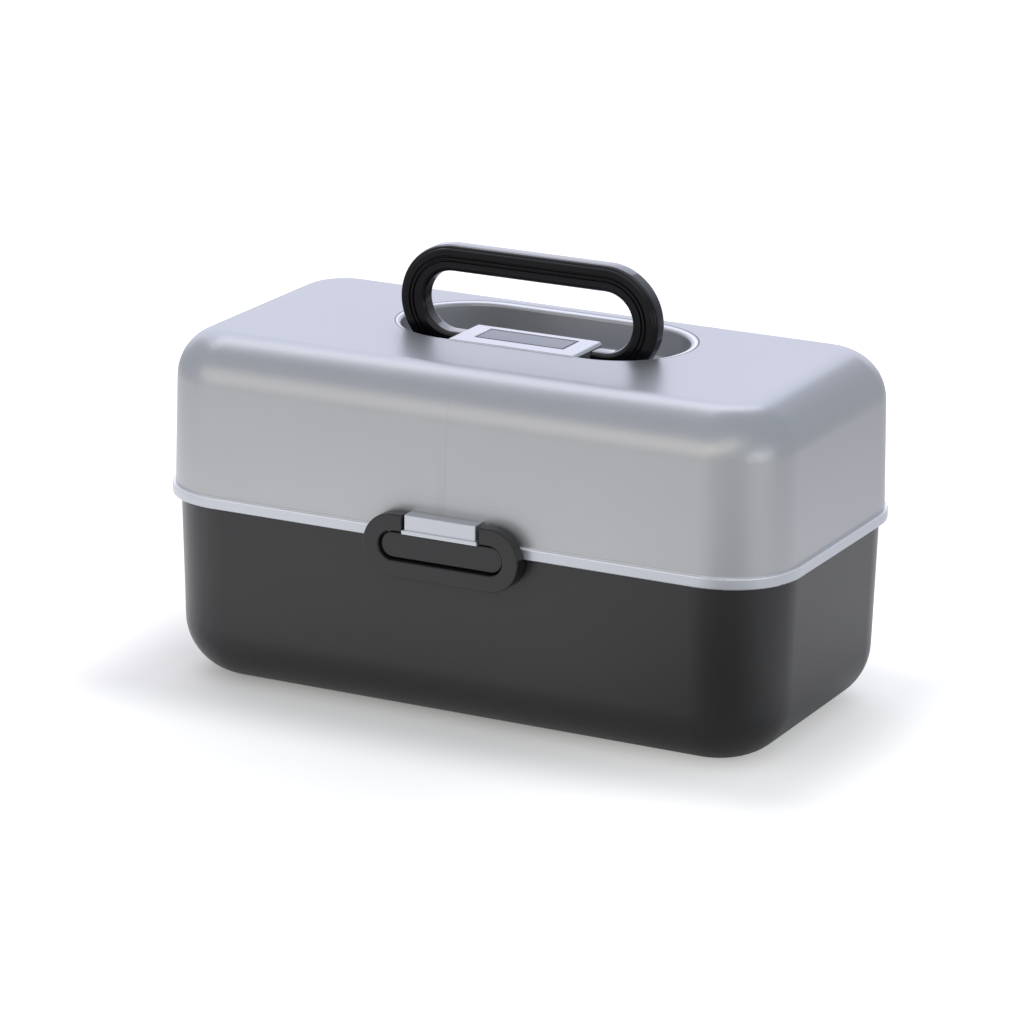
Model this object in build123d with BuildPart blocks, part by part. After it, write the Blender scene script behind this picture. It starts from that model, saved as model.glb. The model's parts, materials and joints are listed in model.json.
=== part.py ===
"""Makeup storage case with a folding top handle.

A moulded two-part box: a dark base and a silver lid hinged along the rear. The lid carries a
loop handle that folds into a well, and it swings two trays up and back on pairs of arms.
Millimetres, +Z up, origin at the middle of the base's flat underside. +X runs to the right
along the front, and the front faces -Y.
"""
import os
from math import atan2, cos, degrees, hypot, radians, sin, tan

from build123d import *

os.makedirs("parts", exist_ok=True)

# ---------------------------------------------------------------- driving dimensions
# the case, over the lid's rim band
case_width = 330.0
case_depth = 171.0
parting_z = 91.9
rim_corner_r = 37.0

# the lid
lid_height = 82.2
lid_wall = 2.4
lid_draft = 1.2
lid_edge_r = 24.0
rim_height = 5.5
rim_proud = 1.5
rim_edge_r = 0.7

# the base
base_step = 2.6
base_corner_r = 39.0
base_wall = 3.0
base_draft = 1.65
base_edge_r = 29.6
parting_gap = 0.5
tongue_height = 4.0
tongue_gap = 0.4
tongue_corner_r = 34.5

# the rear hinges
hinge_inset = 70.0
hinge_drop = 0.9
knuckle_r = 3.6
knuckle_gap = 0.4
knuckle_width = 20.0
knuckle_side_width = 10.0
hinge_pin_r = 1.5
hinge_pin_head_r = 2.6
hinge_pin_head_t = 1.0
running_gap = 0.05
bracket_height = 13.0

# the handle well, an insert whose flange lies in a rebate of the lid's top
well_half_length = 75.7
well_half_width = 37.3
well_y = 15.4
well_lip_r = 1.7
well_depth = 16.6
well_wall = 1.6
well_floor = 1.8
well_draft = 1.0
well_floor_r = 2.5
flange_half_length = 77.3
flange_half_width = 39.6
flange_y = 16.6
flange_t = 1.2
seam_gap = 0.15
snap_width = 8.0
snap_height = 1.8
snap_reach = 1.2
snap_pitch = 26.0

# the loop handle
handle_half_width = 68.7
handle_height = 56.0
handle_drop = 7.75
handle_band = 13.1
handle_t = 10.5
handle_y = 0.3
handle_edge_r = 2.6
groove_width = 1.1
groove_depth = 0.6
groove_ridge = 1.4
groove_inset = 5.6
journal_r = 5.2
journal_half_length = 34.6

# the clamp block over the handle's lower bar
clamp_half_length = 34.0
clamp_rear_y = 9.0
clamp_proud = 0.5
clamp_end_gap = 0.15
clamp_ledge_t = 1.7
clamp_corner_r = 2.0
plate_length = 47.0
plate_width = 17.5
plate_y = -4.2
plate_t = 0.6
plate_recess = 0.7
plate_gap = 0.12

# the latch
latch_half_length = 41.0
latch_half_height = 15.5
latch_drop = 1.1
latch_band = 8.25
latch_front = 7.0
latch_rim_gap = 0.5
latch_gap_half = 20.2
latch_edge_r = 0.9
latch_pad = 0.5
latch_pad_inset = 1.5
button_recess = 2.0
button_t = 2.0
button_side_gap = 0.6
button_end_gap = 1.0
button_travel = 2.4
button_stem_x = 20.0
button_stem_r = 1.5
button_stem_drop = 3.2
button_stem_reach = 3.0
hook_width = 6.0
hook_height = 3.6
hook_gap = 0.6
tab_half_width = 18.8
tab_lip_half_width = 19.8
tab_lip_height = 1.8
tab_lip_proud = 0.8
tab_gap = 0.5
tab_stand = 0.6
tab_edge_r = 0.5
fork_half_width = 9.0
fork_gap = 1.2
fork_t = 1.2
fork_reach = 5.2
spring_wire_r = 0.25
spring_r = 2.35
spring_turns = 4
spring_end_gap = 0.1
clip_r = 3.2
clip_t = 0.8
clip_gap = 0.1

# screws
screw_r = 1.5
screw_head_r = 2.8
screw_head_t = 2.0
screw_clearance = 0.15
screw_fit = 0.03
screw_boss_r = 4.0
screw_boss_t = 1.0

# the trays and their arms
tray_wall = 1.8
tray_height = 22.0
tray_gap = 1.5
tray_rest_gap = 3.6
tray_front_room = 3.6
tray_rear_room = 19.6
tray_side_room = 11.1
tray_corner_r = 24.0
tray_bottom_r = 1.5
rib_t = 1.5
rib_drop = 2.5
rib_row_share = 0.56
lower_pivot_height = 5.6
pivot_rise = 7.14
arm_rest_angle = 130.0
arm_spacing = 41.0
arm_front_inset = 3.6
arm_width = 9.0
arm_t = 1.5
arm_gap = 1.3
rivet_r = 2.0
rivet_head_r = 3.5
rivet_head_t = 0.9
rivet_gap = 0.1
rivet_fit = 0.02
boss_r = 5.5
boss_gap = 0.2
boss_bite = 3.0

# the slotted links between the lid and the upper tray
link_t = 1.5
link_width = 8.4
link_gap = 0.6
link_hinge_ahead = 31.3
link_hinge_above = 19.9
link_pin_inset = 22.5
link_pin_drop = 6.5
link_slot_travel = 5.0
link_slot_gap = 0.45

# ---------------------------------------------------------------- worked-out sizes
half_width = case_width / 2
half_depth = case_depth / 2
lid_top_z = parting_z + lid_height
lid_half_width = half_width - rim_proud
lid_half_depth = half_depth - rim_proud
lid_inner_half_width = lid_half_width - lid_wall
lid_inner_half_depth = lid_half_depth - lid_wall
base_top_z = parting_z - parting_gap
base_half_width = half_width - base_step
base_half_depth = half_depth - base_step
tongue_top_z = base_top_z + tongue_height
hinge_x = half_width - hinge_inset
hinge_y = half_depth + knuckle_gap + knuckle_r
hinge_z = parting_z - hinge_drop
well_floor_z = lid_top_z - well_depth
well_under_z = well_floor_z - well_floor
pivot_z = lid_top_z - handle_drop
handle_mid_z = pivot_z + (handle_height - handle_band) / 2
clamp_top_z = lid_top_z + clamp_proud
well_front_y = well_y - well_half_width
clamp_front_y = well_front_y + well_lip_r + clamp_end_gap + well_depth / 2 * tan(radians(well_draft))
latch_z = parting_z - latch_drop
latch_front_y = -(half_depth + latch_front)
latch_back_y = -(half_depth + latch_rim_gap)
pad_front_y = -(base_half_depth + latch_pad)
opening_half_length = latch_half_length - latch_band
opening_half_height = latch_half_height - latch_band
button_half_length = opening_half_length - button_side_gap
button_half_height = opening_half_height - button_end_gap
button_front_y = latch_front_y + button_recess
button_back_y = button_front_y + button_t
stem_z = latch_z - button_stem_drop
tab_bottom_z = latch_z + button_half_height + tab_gap
tab_top_z = latch_z + latch_half_height + tab_stand
tray_half_width = lid_inner_half_width - tray_side_room
tray_front_y = -lid_inner_half_depth + tray_front_room
tray_rear_y = lid_inner_half_depth - tray_rear_room
tray_mid_y = (tray_front_y + tray_rear_y) / 2
tray_depth = tray_rear_y - tray_front_y
lower_tray_z = tongue_top_z + tray_rest_gap
upper_tray_z = lower_tray_z + tray_height + tray_gap
arm_x = tray_half_width + arm_gap
arm_rise = tray_height + tray_gap + pivot_rise
arm_step = arm_rise / sin(radians(arm_rest_angle))
arm_lean = arm_step * cos(radians(arm_rest_angle))
base_pivot_z = lower_tray_z + lower_pivot_height - arm_rise
front_pivot_y = tray_front_y + tray_corner_r + arm_front_inset - 2 * arm_lean
rear_pivot_y = front_pivot_y + arm_spacing
link_x = arm_x + arm_t + link_gap
lid_pin = (hinge_y - link_hinge_ahead, hinge_z + link_hinge_above)
tray_pin = (tray_rear_y - link_pin_inset, upper_tray_z + tray_height - link_pin_drop)


# ---------------------------------------------------------------- helpers
def front_plane(y):
    """A plane facing the front, with its own x along X and its own y along Z."""
    return Plane(origin=(0, y, 0), x_dir=(1, 0, 0), z_dir=(0, -1, 0))


def side_plane(x):
    """A plane facing +X, with its own x along Y and its own y along Z."""
    return Plane(origin=(x, 0, 0), x_dir=(0, 1, 0), z_dir=(1, 0, 0))


def save(piece, label):
    """Label a finished piece and write its STEP file."""
    piece.part.label = label
    export_step(piece.part, f"parts/{label}.step")


def drafted_tub(half_x, half_y, corner_r, open_z, closed_z, draft, edge_r):
    """A rounded block that narrows from its open plane to a closed plane with a rounded edge."""
    towards = 1 if closed_z > open_z else -1
    with BuildPart() as block:
        with BuildSketch(Plane(origin=(0, 0, open_z), x_dir=(1, 0, 0), z_dir=(0, 0, towards))):
            RectangleRounded(2 * half_x, 2 * half_y, corner_r)
        extrude(amount=abs(closed_z - open_z), taper=draft)
        fillet(block.faces().sort_by(Axis.Z)[-1 if towards > 0 else 0].edges(), edge_r)
    return block.part


def inner_half_depth_at(z):
    """The base's inner wall, from the middle plane, at a height."""
    return base_half_depth - base_wall - (base_top_z - z) * tan(radians(base_draft))


def arm_pivot(base_y, step):
    """An arm's pivot in (y, z) at rest: 0 on the base, 1 on the lower tray, 2 on the upper."""
    return (base_y + step * arm_lean, base_pivot_z + step * arm_rise)


def pins(places, stretches):
    """Round pins along X, one for each (y, z) place and each side of the case.

    stretches lists each pin's (inner x, outer x, radius) on the right-hand side."""
    with BuildPart() as group:
        for inner, outer, radius in stretches:
            for side in (-1, 1):
                start = inner if side > 0 else -outer
                with BuildSketch(side_plane(start)):
                    with Locations(*places):
                        Circle(radius)
                extrude(amount=outer - inner)
    return group


def pivot_bosses(places, start_x, shell):
    """Bosses on both side walls, cut back to the shell that carries them."""
    with BuildPart() as bosses:
        add(pins(places, [(start_x, half_width, boss_r)]).part)
        add(shell, mode=Mode.INTERSECT)
    return bosses.part


def rivet_holes(places, start_x):
    """The blind holes that a shell's bosses hold their rivets in."""
    return pins(places, [(start_x, start_x + boss_bite, rivet_r + rivet_fit)]).part


# ---------------------------------------------------------------- base tub
tub_outer = drafted_tub(
    base_half_width, base_half_depth, base_corner_r, base_top_z, 0, base_draft, base_edge_r
)
tub_cavity = drafted_tub(
    base_half_width - base_wall,
    base_half_depth - base_wall,
    base_corner_r - base_wall,
    base_top_z,
    base_wall,
    base_draft,
    base_edge_r - base_wall,
)
latch_screw_places = [
    (side * reach * latch_half_length, latch_z - drop * latch_half_height)
    for side in (-1, 1)
    for reach, drop in ((0.34, 0.734), (0.79, 0.42))
]
stem_places = [(-button_stem_x, stem_z), (button_stem_x, stem_z)]
base_pivots = [arm_pivot(front_pivot_y, 0), arm_pivot(rear_pivot_y, 0)]
boss_x = arm_x + arm_t + boss_gap
boss_face_y = -inner_half_depth_at(latch_z - latch_half_height) + screw_boss_t

with BuildPart() as base_tub:
    add(tub_outer)
    with BuildSketch(Plane.XY.offset(base_top_z)):
        RectangleRounded(
            2 * (lid_inner_half_width - tongue_gap),
            2 * (lid_inner_half_depth - tongue_gap),
            tongue_corner_r,
        )
    extrude(amount=tongue_height)
    # flat pad that the latch bezel is screwed to
    with BuildSketch(front_plane(-base_half_depth + base_wall / 2)):
        with Locations((0, latch_z)):
            SlotOverall(
                2 * (latch_half_length - latch_pad_inset), 2 * (latch_half_height - latch_pad_inset)
            )
        with Locations((0, base_top_z + latch_half_height)):
            Rectangle(2 * latch_half_length, 2 * latch_half_height, mode=Mode.SUBTRACT)
    extrude(amount=latch_pad + base_wall / 2)
    add(tub_cavity, mode=Mode.SUBTRACT)
    with BuildSketch(Plane.XY.offset(base_top_z)):
        RectangleRounded(
            2 * (base_half_width - base_wall),
            2 * (base_half_depth - base_wall),
            base_corner_r - base_wall,
        )
    extrude(amount=tongue_height, mode=Mode.SUBTRACT)
    # bosses inside the front wall for the latch screws and the button's stems
    with BuildSketch(front_plane(boss_face_y)):
        with Locations(*latch_screw_places, *stem_places):
            Circle(screw_boss_r)
        with Locations((0, base_top_z + screw_boss_r)):
            Rectangle(2 * latch_half_length, 2 * screw_boss_r, mode=Mode.SUBTRACT)
    extrude(amount=boss_face_y + base_half_depth - base_wall / 2)
    with BuildSketch(front_plane(boss_face_y)):
        with Locations(*latch_screw_places):
            Circle(screw_r + screw_clearance)
        with Locations(*stem_places):
            Circle(button_stem_r + running_gap)
        with Locations((0, stem_z)):
            Rectangle(hook_width + 2 * hook_gap, hook_height + 2 * hook_gap)
    extrude(amount=boss_face_y - pad_front_y, mode=Mode.SUBTRACT)
    add(pivot_bosses(base_pivots, boss_x, tub_outer))
    add(rivet_holes(base_pivots, boss_x), mode=Mode.SUBTRACT)
    # hinge brackets behind the rear wall
    for x in (-hinge_x, hinge_x):
        for side in (-1, 1):
            inner_x = x + side * (knuckle_width / 2 + running_gap * 4)
            start_x = inner_x if side > 0 else inner_x - knuckle_side_width
            with BuildSketch(side_plane(start_x)):
                with BuildLine():
                    Polyline(
                        (base_half_depth - base_wall / 2, base_top_z),
                        (hinge_y, base_top_z),
                        (hinge_y, hinge_z - knuckle_r),
                        (base_half_depth - base_wall / 2, base_top_z - bracket_height),
                        close=True,
                    )
                make_face()
                with Locations((hinge_y, hinge_z)):
                    Circle(knuckle_r)
                    Circle(hinge_pin_r + running_gap, mode=Mode.SUBTRACT)
            extrude(amount=knuckle_side_width)
save(base_tub, "base_tub")

# ---------------------------------------------------------------- lid shell
lid_outer = drafted_tub(
    lid_half_width,
    lid_half_depth,
    rim_corner_r - rim_proud,
    parting_z,
    lid_top_z,
    lid_draft,
    lid_edge_r,
)
lid_cavity = drafted_tub(
    lid_inner_half_width,
    lid_inner_half_depth,
    rim_corner_r - rim_proud - lid_wall,
    parting_z,
    lid_top_z - lid_wall,
    lid_draft,
    lid_edge_r - lid_wall,
)
with BuildPart() as rim_band:
    with BuildSketch(Plane.XY.offset(parting_z)):
        RectangleRounded(case_width, case_depth, rim_corner_r)
    extrude(amount=rim_height)
    fillet(rim_band.faces().filter_by(Axis.Z).edges(), rim_edge_r)

with BuildPart() as lid_tab:
    with BuildSketch(front_plane(-lid_half_depth)):
        with Locations((0, (tab_bottom_z + tab_top_z) / 2)):
            Rectangle(2 * tab_half_width, tab_top_z - tab_bottom_z)
    extrude(amount=-lid_half_depth - latch_front_y)
    fillet(lid_tab.faces().sort_by(Axis.Y)[0].edges(), tab_edge_r)
    with BuildSketch(front_plane(-lid_half_depth)):
        with Locations((0, tab_bottom_z + tab_lip_height / 2)):
            Rectangle(2 * tab_lip_half_width, tab_lip_height)
    extrude(amount=-lid_half_depth - latch_front_y + tab_lip_proud)

link_boss_x = link_x + link_t + boss_gap + rivet_gap
with BuildPart() as lid_shell:
    add(lid_outer)
    add(rim_band.part)
    # the tab's root reaches into the wall, and the fork hangs from the rim behind the button
    with BuildSketch(front_plane(-lid_inner_half_depth - lid_wall / 2)):
        with Locations((0, (tab_bottom_z + tab_top_z) / 2)):
            Rectangle(2 * tab_half_width, tab_top_z - tab_bottom_z)
    extrude(amount=lid_wall)
    add(lid_tab.part)
    add(lid_cavity, mode=Mode.SUBTRACT)
    fork_back_y = pad_front_y - latch_rim_gap
    with BuildSketch(front_plane(fork_back_y)):
        with Locations((0, parting_z - fork_reach / 2 + rim_height / 4)):
            Rectangle(2 * fork_half_width, fork_reach + rim_height / 2)
            Rectangle(
                hook_width + 2 * fork_gap, fork_reach + rim_height / 2, mode=Mode.SUBTRACT
            )
    extrude(amount=fork_t)
    # the handle well's rebate and opening
    with BuildSketch(Plane.XY.offset(lid_top_z)):
        with Locations((0, flange_y)):
            SlotOverall(
                2 * (flange_half_length + seam_gap), 2 * (flange_half_width + seam_gap)
            )
    extrude(amount=-flange_t, mode=Mode.SUBTRACT)
    with BuildSketch(Plane.XY.offset(lid_top_z)):
        with Locations((0, well_y)):
            SlotOverall(
                2 * (well_half_length - well_lip_r + well_wall + seam_gap),
                2 * (well_half_width - well_lip_r + well_wall + seam_gap),
            )
    extrude(amount=-2 * lid_wall, mode=Mode.SUBTRACT)
    # hinge knuckles
    for x in (-hinge_x, hinge_x):
        with BuildSketch(side_plane(x - knuckle_width / 2)):
            with BuildLine():
                Polyline(
                    (lid_inner_half_depth + lid_wall / 2, parting_z),
                    (hinge_y, parting_z),
                    (hinge_y, hinge_z + knuckle_r),
                    (lid_inner_half_depth + lid_wall / 2, parting_z + bracket_height / 2),
                    close=True,
                )
            make_face()
            with Locations((hinge_y, hinge_z)):
                Circle(knuckle_r)
                Circle(hinge_pin_r + running_gap, mode=Mode.SUBTRACT)
        extrude(amount=knuckle_width)
    add(pivot_bosses([lid_pin], link_boss_x, lid_outer))
    add(rivet_holes([lid_pin], link_boss_x), mode=Mode.SUBTRACT)
save(lid_shell, "lid_shell")

# ---------------------------------------------------------------- handle well
clamp_screw_xs = [side * reach * clamp_half_length for side in (-1, 1) for reach in (0.35, 0.82)]
clamp_screw_y = (clamp_front_y + handle_y - journal_r) / 2
clamp_screw_places = [(x, clamp_screw_y) for x in clamp_screw_xs]
well_rim_half_length = well_half_length - well_lip_r
well_rim_half_width = well_half_width - well_lip_r

with BuildPart() as well_hollow:
    with BuildSketch(Plane(origin=(0, 0, lid_top_z), x_dir=(1, 0, 0), z_dir=(0, 0, -1))):
        with Locations((0, -well_y)):
            SlotOverall(2 * well_rim_half_length, 2 * well_rim_half_width)
    extrude(amount=well_depth, taper=well_draft)
    fillet(well_hollow.faces().sort_by(Axis.Z)[0].edges(), well_floor_r)

with BuildPart() as handle_well:
    with BuildSketch(Plane.XY.offset(lid_top_z - flange_t)):
        with Locations((0, flange_y)):
            SlotOverall(2 * flange_half_length, 2 * flange_half_width)
    extrude(amount=flange_t)
    with BuildSketch(Plane.XY.offset(well_under_z)):
        with Locations((0, well_y)):
            SlotOverall(
                2 * (well_rim_half_length + well_wall), 2 * (well_rim_half_width + well_wall)
            )
    extrude(amount=lid_top_z - well_under_z - flange_t)
    add(well_hollow.part, mode=Mode.SUBTRACT)
    rim_edges = handle_well.edges().filter_by_position(Axis.Z, lid_top_z - 0.01, lid_top_z + 0.01)
    fillet(
        [e for e in rim_edges if e.bounding_box().size.X < 2 * well_rim_half_length
         and abs(e.center().Y - well_y) < well_rim_half_width + 0.5
         and abs(e.center().X) < well_rim_half_length + 0.5],
        well_lip_r,
    )
    # saddle under the handle's lower bar
    with BuildSketch(Plane.XY.offset(well_floor_z - well_floor / 2)):
        with Locations((0, (clamp_front_y - well_wall / 2 + clamp_rear_y) / 2)):
            Rectangle(
                2 * clamp_half_length - 1, clamp_rear_y - clamp_front_y + well_wall / 2
            )
    extrude(amount=pivot_z - well_floor_z + well_floor / 2)
    with BuildSketch(side_plane(-journal_half_length)):
        with Locations((handle_y, pivot_z)):
            Circle(journal_r + running_gap)
    extrude(amount=2 * journal_half_length, mode=Mode.SUBTRACT)
    # seat for the clamp's front ledge
    with BuildSketch(Plane.XY.offset(lid_top_z)):
        with Locations((0, (well_front_y + clamp_front_y) / 2)):
            Rectangle(
                2 * (clamp_half_length + clamp_end_gap),
                clamp_front_y - well_front_y,
            )
    extrude(amount=-clamp_ledge_t, mode=Mode.SUBTRACT)
    with BuildSketch(Plane.XY.offset(well_under_z)):
        with Locations(*clamp_screw_places):
            Circle(screw_r + screw_clearance)
    extrude(amount=pivot_z - well_under_z, mode=Mode.SUBTRACT)
    # snap tabs that hold the insert under the lid's top
    snap_top_z = lid_top_z - lid_wall - seam_gap
    for y, outward in (
        (well_y - well_rim_half_width - well_wall, -1),
        (well_y + well_rim_half_width + well_wall, 1),
    ):
        with BuildSketch(Plane.XY.offset(snap_top_z)):
            with Locations(
                (-snap_pitch, y + outward * snap_reach / 2),
                (0, y + outward * snap_reach / 2),
                (snap_pitch, y + outward * snap_reach / 2),
            ):
                Rectangle(snap_width, snap_reach + well_wall)
        extrude(amount=-snap_height)
save(handle_well, "handle_well")

# ---------------------------------------------------------------- handle
with BuildPart() as handle:
    with BuildSketch(front_plane(handle_y + handle_t / 2)):
        with Locations((0, handle_mid_z)):
            SlotOverall(2 * handle_half_width, handle_height)
            SlotOverall(
                2 * (handle_half_width - handle_band),
                handle_height - 2 * handle_band,
                mode=Mode.SUBTRACT,
            )
    extrude(amount=handle_t)
    fillet(handle.faces().filter_by(Axis.Y).edges(), handle_edge_r)
    # two grooves with a thin ridge between them, round the front and the back
    for face_y, inward in ((handle_y - handle_t / 2, -1), (handle_y + handle_t / 2, 1)):
        with BuildSketch(front_plane(face_y)):
            for inset in (groove_inset, groove_inset + groove_width + groove_ridge):
                with Locations((0, handle_mid_z)):
                    SlotOverall(
                        2 * (handle_half_width - inset), handle_height - 2 * inset
                    )
                    SlotOverall(
                        2 * (handle_half_width - inset - groove_width),
                        handle_height - 2 * (inset + groove_width),
                        mode=Mode.SUBTRACT,
                    )
        extrude(amount=inward * groove_depth, mode=Mode.SUBTRACT)
    # the lower bar's round journal
    with BuildSketch(side_plane(-journal_half_length)):
        with Locations((handle_y, pivot_z)):
            Rectangle(2 * handle_t, handle_band + 2)
    extrude(amount=2 * journal_half_length, mode=Mode.SUBTRACT)
    with BuildSketch(side_plane(-journal_half_length - handle_edge_r)):
        with Locations((handle_y, pivot_z)):
            Circle(journal_r)
    extrude(amount=2 * (journal_half_length + handle_edge_r))
save(handle, "handle")

# ---------------------------------------------------------------- handle clamp and plate
with BuildPart() as handle_clamp:
    with BuildSketch(Plane.XY.offset(pivot_z)):
        with Locations((0, (clamp_front_y + clamp_rear_y) / 2)):
            Rectangle(2 * clamp_half_length, clamp_rear_y - clamp_front_y)
    extrude(amount=clamp_top_z - pivot_z)
    with BuildSketch(Plane.XY.offset(lid_top_z - clamp_ledge_t + clamp_end_gap)):
        with Locations((0, (well_front_y + clamp_front_y) / 2)):
            Rectangle(2 * clamp_half_length, clamp_front_y - well_front_y)
    extrude(amount=clamp_top_z - lid_top_z + clamp_ledge_t - clamp_end_gap)
    top_edges = handle_clamp.edges().filter_by_position(Axis.Z, clamp_top_z - 0.01, clamp_top_z + 0.01)
    fillet(top_edges.filter_by(Axis.Y), clamp_corner_r)
    with BuildSketch(side_plane(-clamp_half_length)):
        with Locations((handle_y, pivot_z)):
            Circle(journal_r + running_gap)
    extrude(amount=2 * clamp_half_length, mode=Mode.SUBTRACT)
    with BuildSketch(Plane.XY.offset(pivot_z)):
        with Locations(*clamp_screw_places):
            Circle(screw_r + screw_fit)
    extrude(amount=(clamp_top_z - pivot_z) * 0.6, mode=Mode.SUBTRACT)
    with BuildSketch(Plane.XY.offset(clamp_top_z)):
        with Locations((0, plate_y)):
            Rectangle(plate_length + 2 * plate_gap, plate_width + 2 * plate_gap)
    extrude(amount=-plate_recess, mode=Mode.SUBTRACT)
save(handle_clamp, "handle_clamp")

with BuildPart() as name_plate:
    with BuildSketch(Plane.XY.offset(clamp_top_z - plate_recess)):
        with Locations((0, plate_y)):
            Rectangle(plate_length, plate_width)
    extrude(amount=plate_t)
save(name_plate, "name_plate")

with BuildPart() as clamp_screws:
    with BuildSketch(Plane.XY.offset(well_under_z - screw_head_t)):
        with Locations(*clamp_screw_places):
            Circle(screw_head_r)
    extrude(amount=screw_head_t)
    with BuildSketch(Plane.XY.offset(well_under_z)):
        with Locations(*clamp_screw_places):
            Circle(screw_r)
    extrude(amount=pivot_z - well_under_z + (clamp_top_z - pivot_z) * 0.5)
save(clamp_screws, "clamp_screws")

# ---------------------------------------------------------------- latch
with BuildPart() as latch_bezel:
    with BuildSketch(front_plane(latch_back_y)):
        with Locations((0, latch_z)):
            SlotOverall(2 * latch_half_length, 2 * latch_half_height)
            SlotOverall(
                2 * opening_half_length, 2 * opening_half_height, mode=Mode.SUBTRACT
            )
        with Locations((0, latch_z + latch_half_height)):
            Rectangle(
                2 * latch_gap_half,
                2 * (latch_half_height - opening_half_height / 2),
                mode=Mode.SUBTRACT,
            )
    extrude(amount=latch_back_y - latch_front_y)
    front = latch_bezel.faces().sort_by(Axis.Y)[0]
    fillet(front.edges(), latch_edge_r)
    with BuildSketch(front_plane(pad_front_y)):
        with Locations((0, latch_z)):
            SlotOverall(2 * latch_half_length, 2 * latch_half_height)
            SlotOverall(
                2 * opening_half_length, 2 * opening_half_height, mode=Mode.SUBTRACT
            )
        with Locations((0, base_top_z + latch_half_height)):
            Rectangle(2 * latch_half_length, 2 * latch_half_height, mode=Mode.SUBTRACT)
    extrude(amount=pad_front_y - latch_back_y)
    with BuildSketch(front_plane(pad_front_y)):
        with Locations(*latch_screw_places):
            Circle(screw_r + screw_fit)
    extrude(amount=(pad_front_y - latch_front_y) * 0.7, mode=Mode.SUBTRACT)
save(latch_bezel, "latch_bezel")

with BuildPart() as latch_screws:
    with BuildSketch(front_plane(boss_face_y + screw_head_t)):
        with Locations(*latch_screw_places):
            Circle(screw_head_r)
    extrude(amount=screw_head_t)
    with BuildSketch(front_plane(boss_face_y)):
        with Locations(*latch_screw_places):
            Circle(screw_r)
    extrude(amount=boss_face_y - pad_front_y + (pad_front_y - latch_front_y) * 0.6)
save(latch_screws, "latch_screws")

stem_end_y = boss_face_y + clip_gap + clip_t + button_stem_reach
with BuildPart() as latch_button:
    with BuildSketch(front_plane(button_back_y)):
        with Locations((0, latch_z)):
            SlotOverall(2 * button_half_length, 2 * button_half_height)
    extrude(amount=button_t)
    fillet(latch_button.faces().sort_by(Axis.Y)[0].edges(), button_t / 3)
    with BuildSketch(front_plane(stem_end_y)):
        with Locations(*stem_places):
            Circle(button_stem_r)
    extrude(amount=stem_end_y - button_back_y)
    with BuildSketch(front_plane(stem_end_y)):
        with Locations((0, stem_z)):
            Rectangle(hook_width, hook_height)
    extrude(amount=stem_end_y - button_back_y)
save(latch_button, "latch_button")

with BuildPart() as button_clips:
    with BuildSketch(front_plane(boss_face_y + clip_gap + clip_t)):
        with Locations(*stem_places):
            Circle(clip_r)
            Circle(button_stem_r + screw_fit, mode=Mode.SUBTRACT)
    extrude(amount=clip_t)
save(button_clips, "button_clips")

spring_length = pad_front_y - button_back_y - 2 * (spring_end_gap + spring_wire_r)
with BuildPart() as button_springs:
    for x, z in stem_places:
        with BuildLine() as coil:
            Helix(
                pitch=spring_length / spring_turns,
                height=spring_length,
                radius=spring_r,
                center=(x, button_back_y + spring_end_gap + spring_wire_r, z),
                direction=(0, 1, 0),
            )
        with BuildSketch(Plane(origin=coil.line @ 0, z_dir=coil.line % 0)):
            Circle(spring_wire_r)
        sweep(path=coil.line, is_frenet=True)
save(button_springs, "button_springs")

# ---------------------------------------------------------------- hinge pins
hinge_half_length = knuckle_width / 2 + running_gap * 4 + knuckle_side_width
for name, x in (("left", -hinge_x), ("right", hinge_x)):
    head_x = x + hinge_half_length if x > 0 else x - hinge_half_length - hinge_pin_head_t
    with BuildPart() as hinge_pin:
        with BuildSketch(side_plane(x - hinge_half_length)):
            with Locations((hinge_y, hinge_z)):
                Circle(hinge_pin_r)
        extrude(amount=2 * hinge_half_length)
        with BuildSketch(side_plane(head_x)):
            with Locations((hinge_y, hinge_z)):
                Circle(hinge_pin_head_r)
        extrude(amount=hinge_pin_head_t)
    save(hinge_pin, f"hinge_pin_{name}")


# ---------------------------------------------------------------- trays
def build_tray(floor_z, columns, row_shares, pivots):
    """An open tray with ribs across it, and pivot holes in its side walls."""
    with BuildPart() as tray:
        with BuildSketch(Plane.XY.offset(floor_z)):
            with Locations((0, tray_mid_y)):
                RectangleRounded(2 * tray_half_width, tray_depth, tray_corner_r)
        extrude(amount=tray_height)
        fillet(tray.faces().sort_by(Axis.Z)[0].edges(), tray_bottom_r)
        with BuildSketch(Plane.XY.offset(floor_z + tray_wall)):
            with Locations((0, tray_mid_y)):
                RectangleRounded(
                    2 * (tray_half_width - tray_wall),
                    tray_depth - 2 * tray_wall,
                    tray_corner_r - tray_wall,
                )
        extrude(amount=tray_height, mode=Mode.SUBTRACT)
        column_xs = [tray_half_width * (2 * i / columns - 1) for i in range(1, columns)]
        row_ys = [tray_front_y + tray_depth * share for share in row_shares]
        with BuildSketch(Plane.XY.offset(floor_z + tray_wall / 2)):
            with Locations(*[(x, tray_mid_y) for x in column_xs]):
                Rectangle(rib_t, tray_depth - tray_wall)
            if row_ys:
                with Locations(*[(0, y) for y in row_ys]):
                    Rectangle(2 * tray_half_width - tray_wall, rib_t)
        extrude(amount=tray_height - tray_wall / 2 - rib_drop)
        for side in (-1, 1):
            start = tray_half_width - 2 * tray_wall if side > 0 else -tray_half_width
            with BuildSketch(side_plane(start)):
                with Locations(*pivots):
                    Circle(rivet_r + rivet_fit)
            extrude(amount=2 * tray_wall, mode=Mode.SUBTRACT)
    return tray


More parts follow.
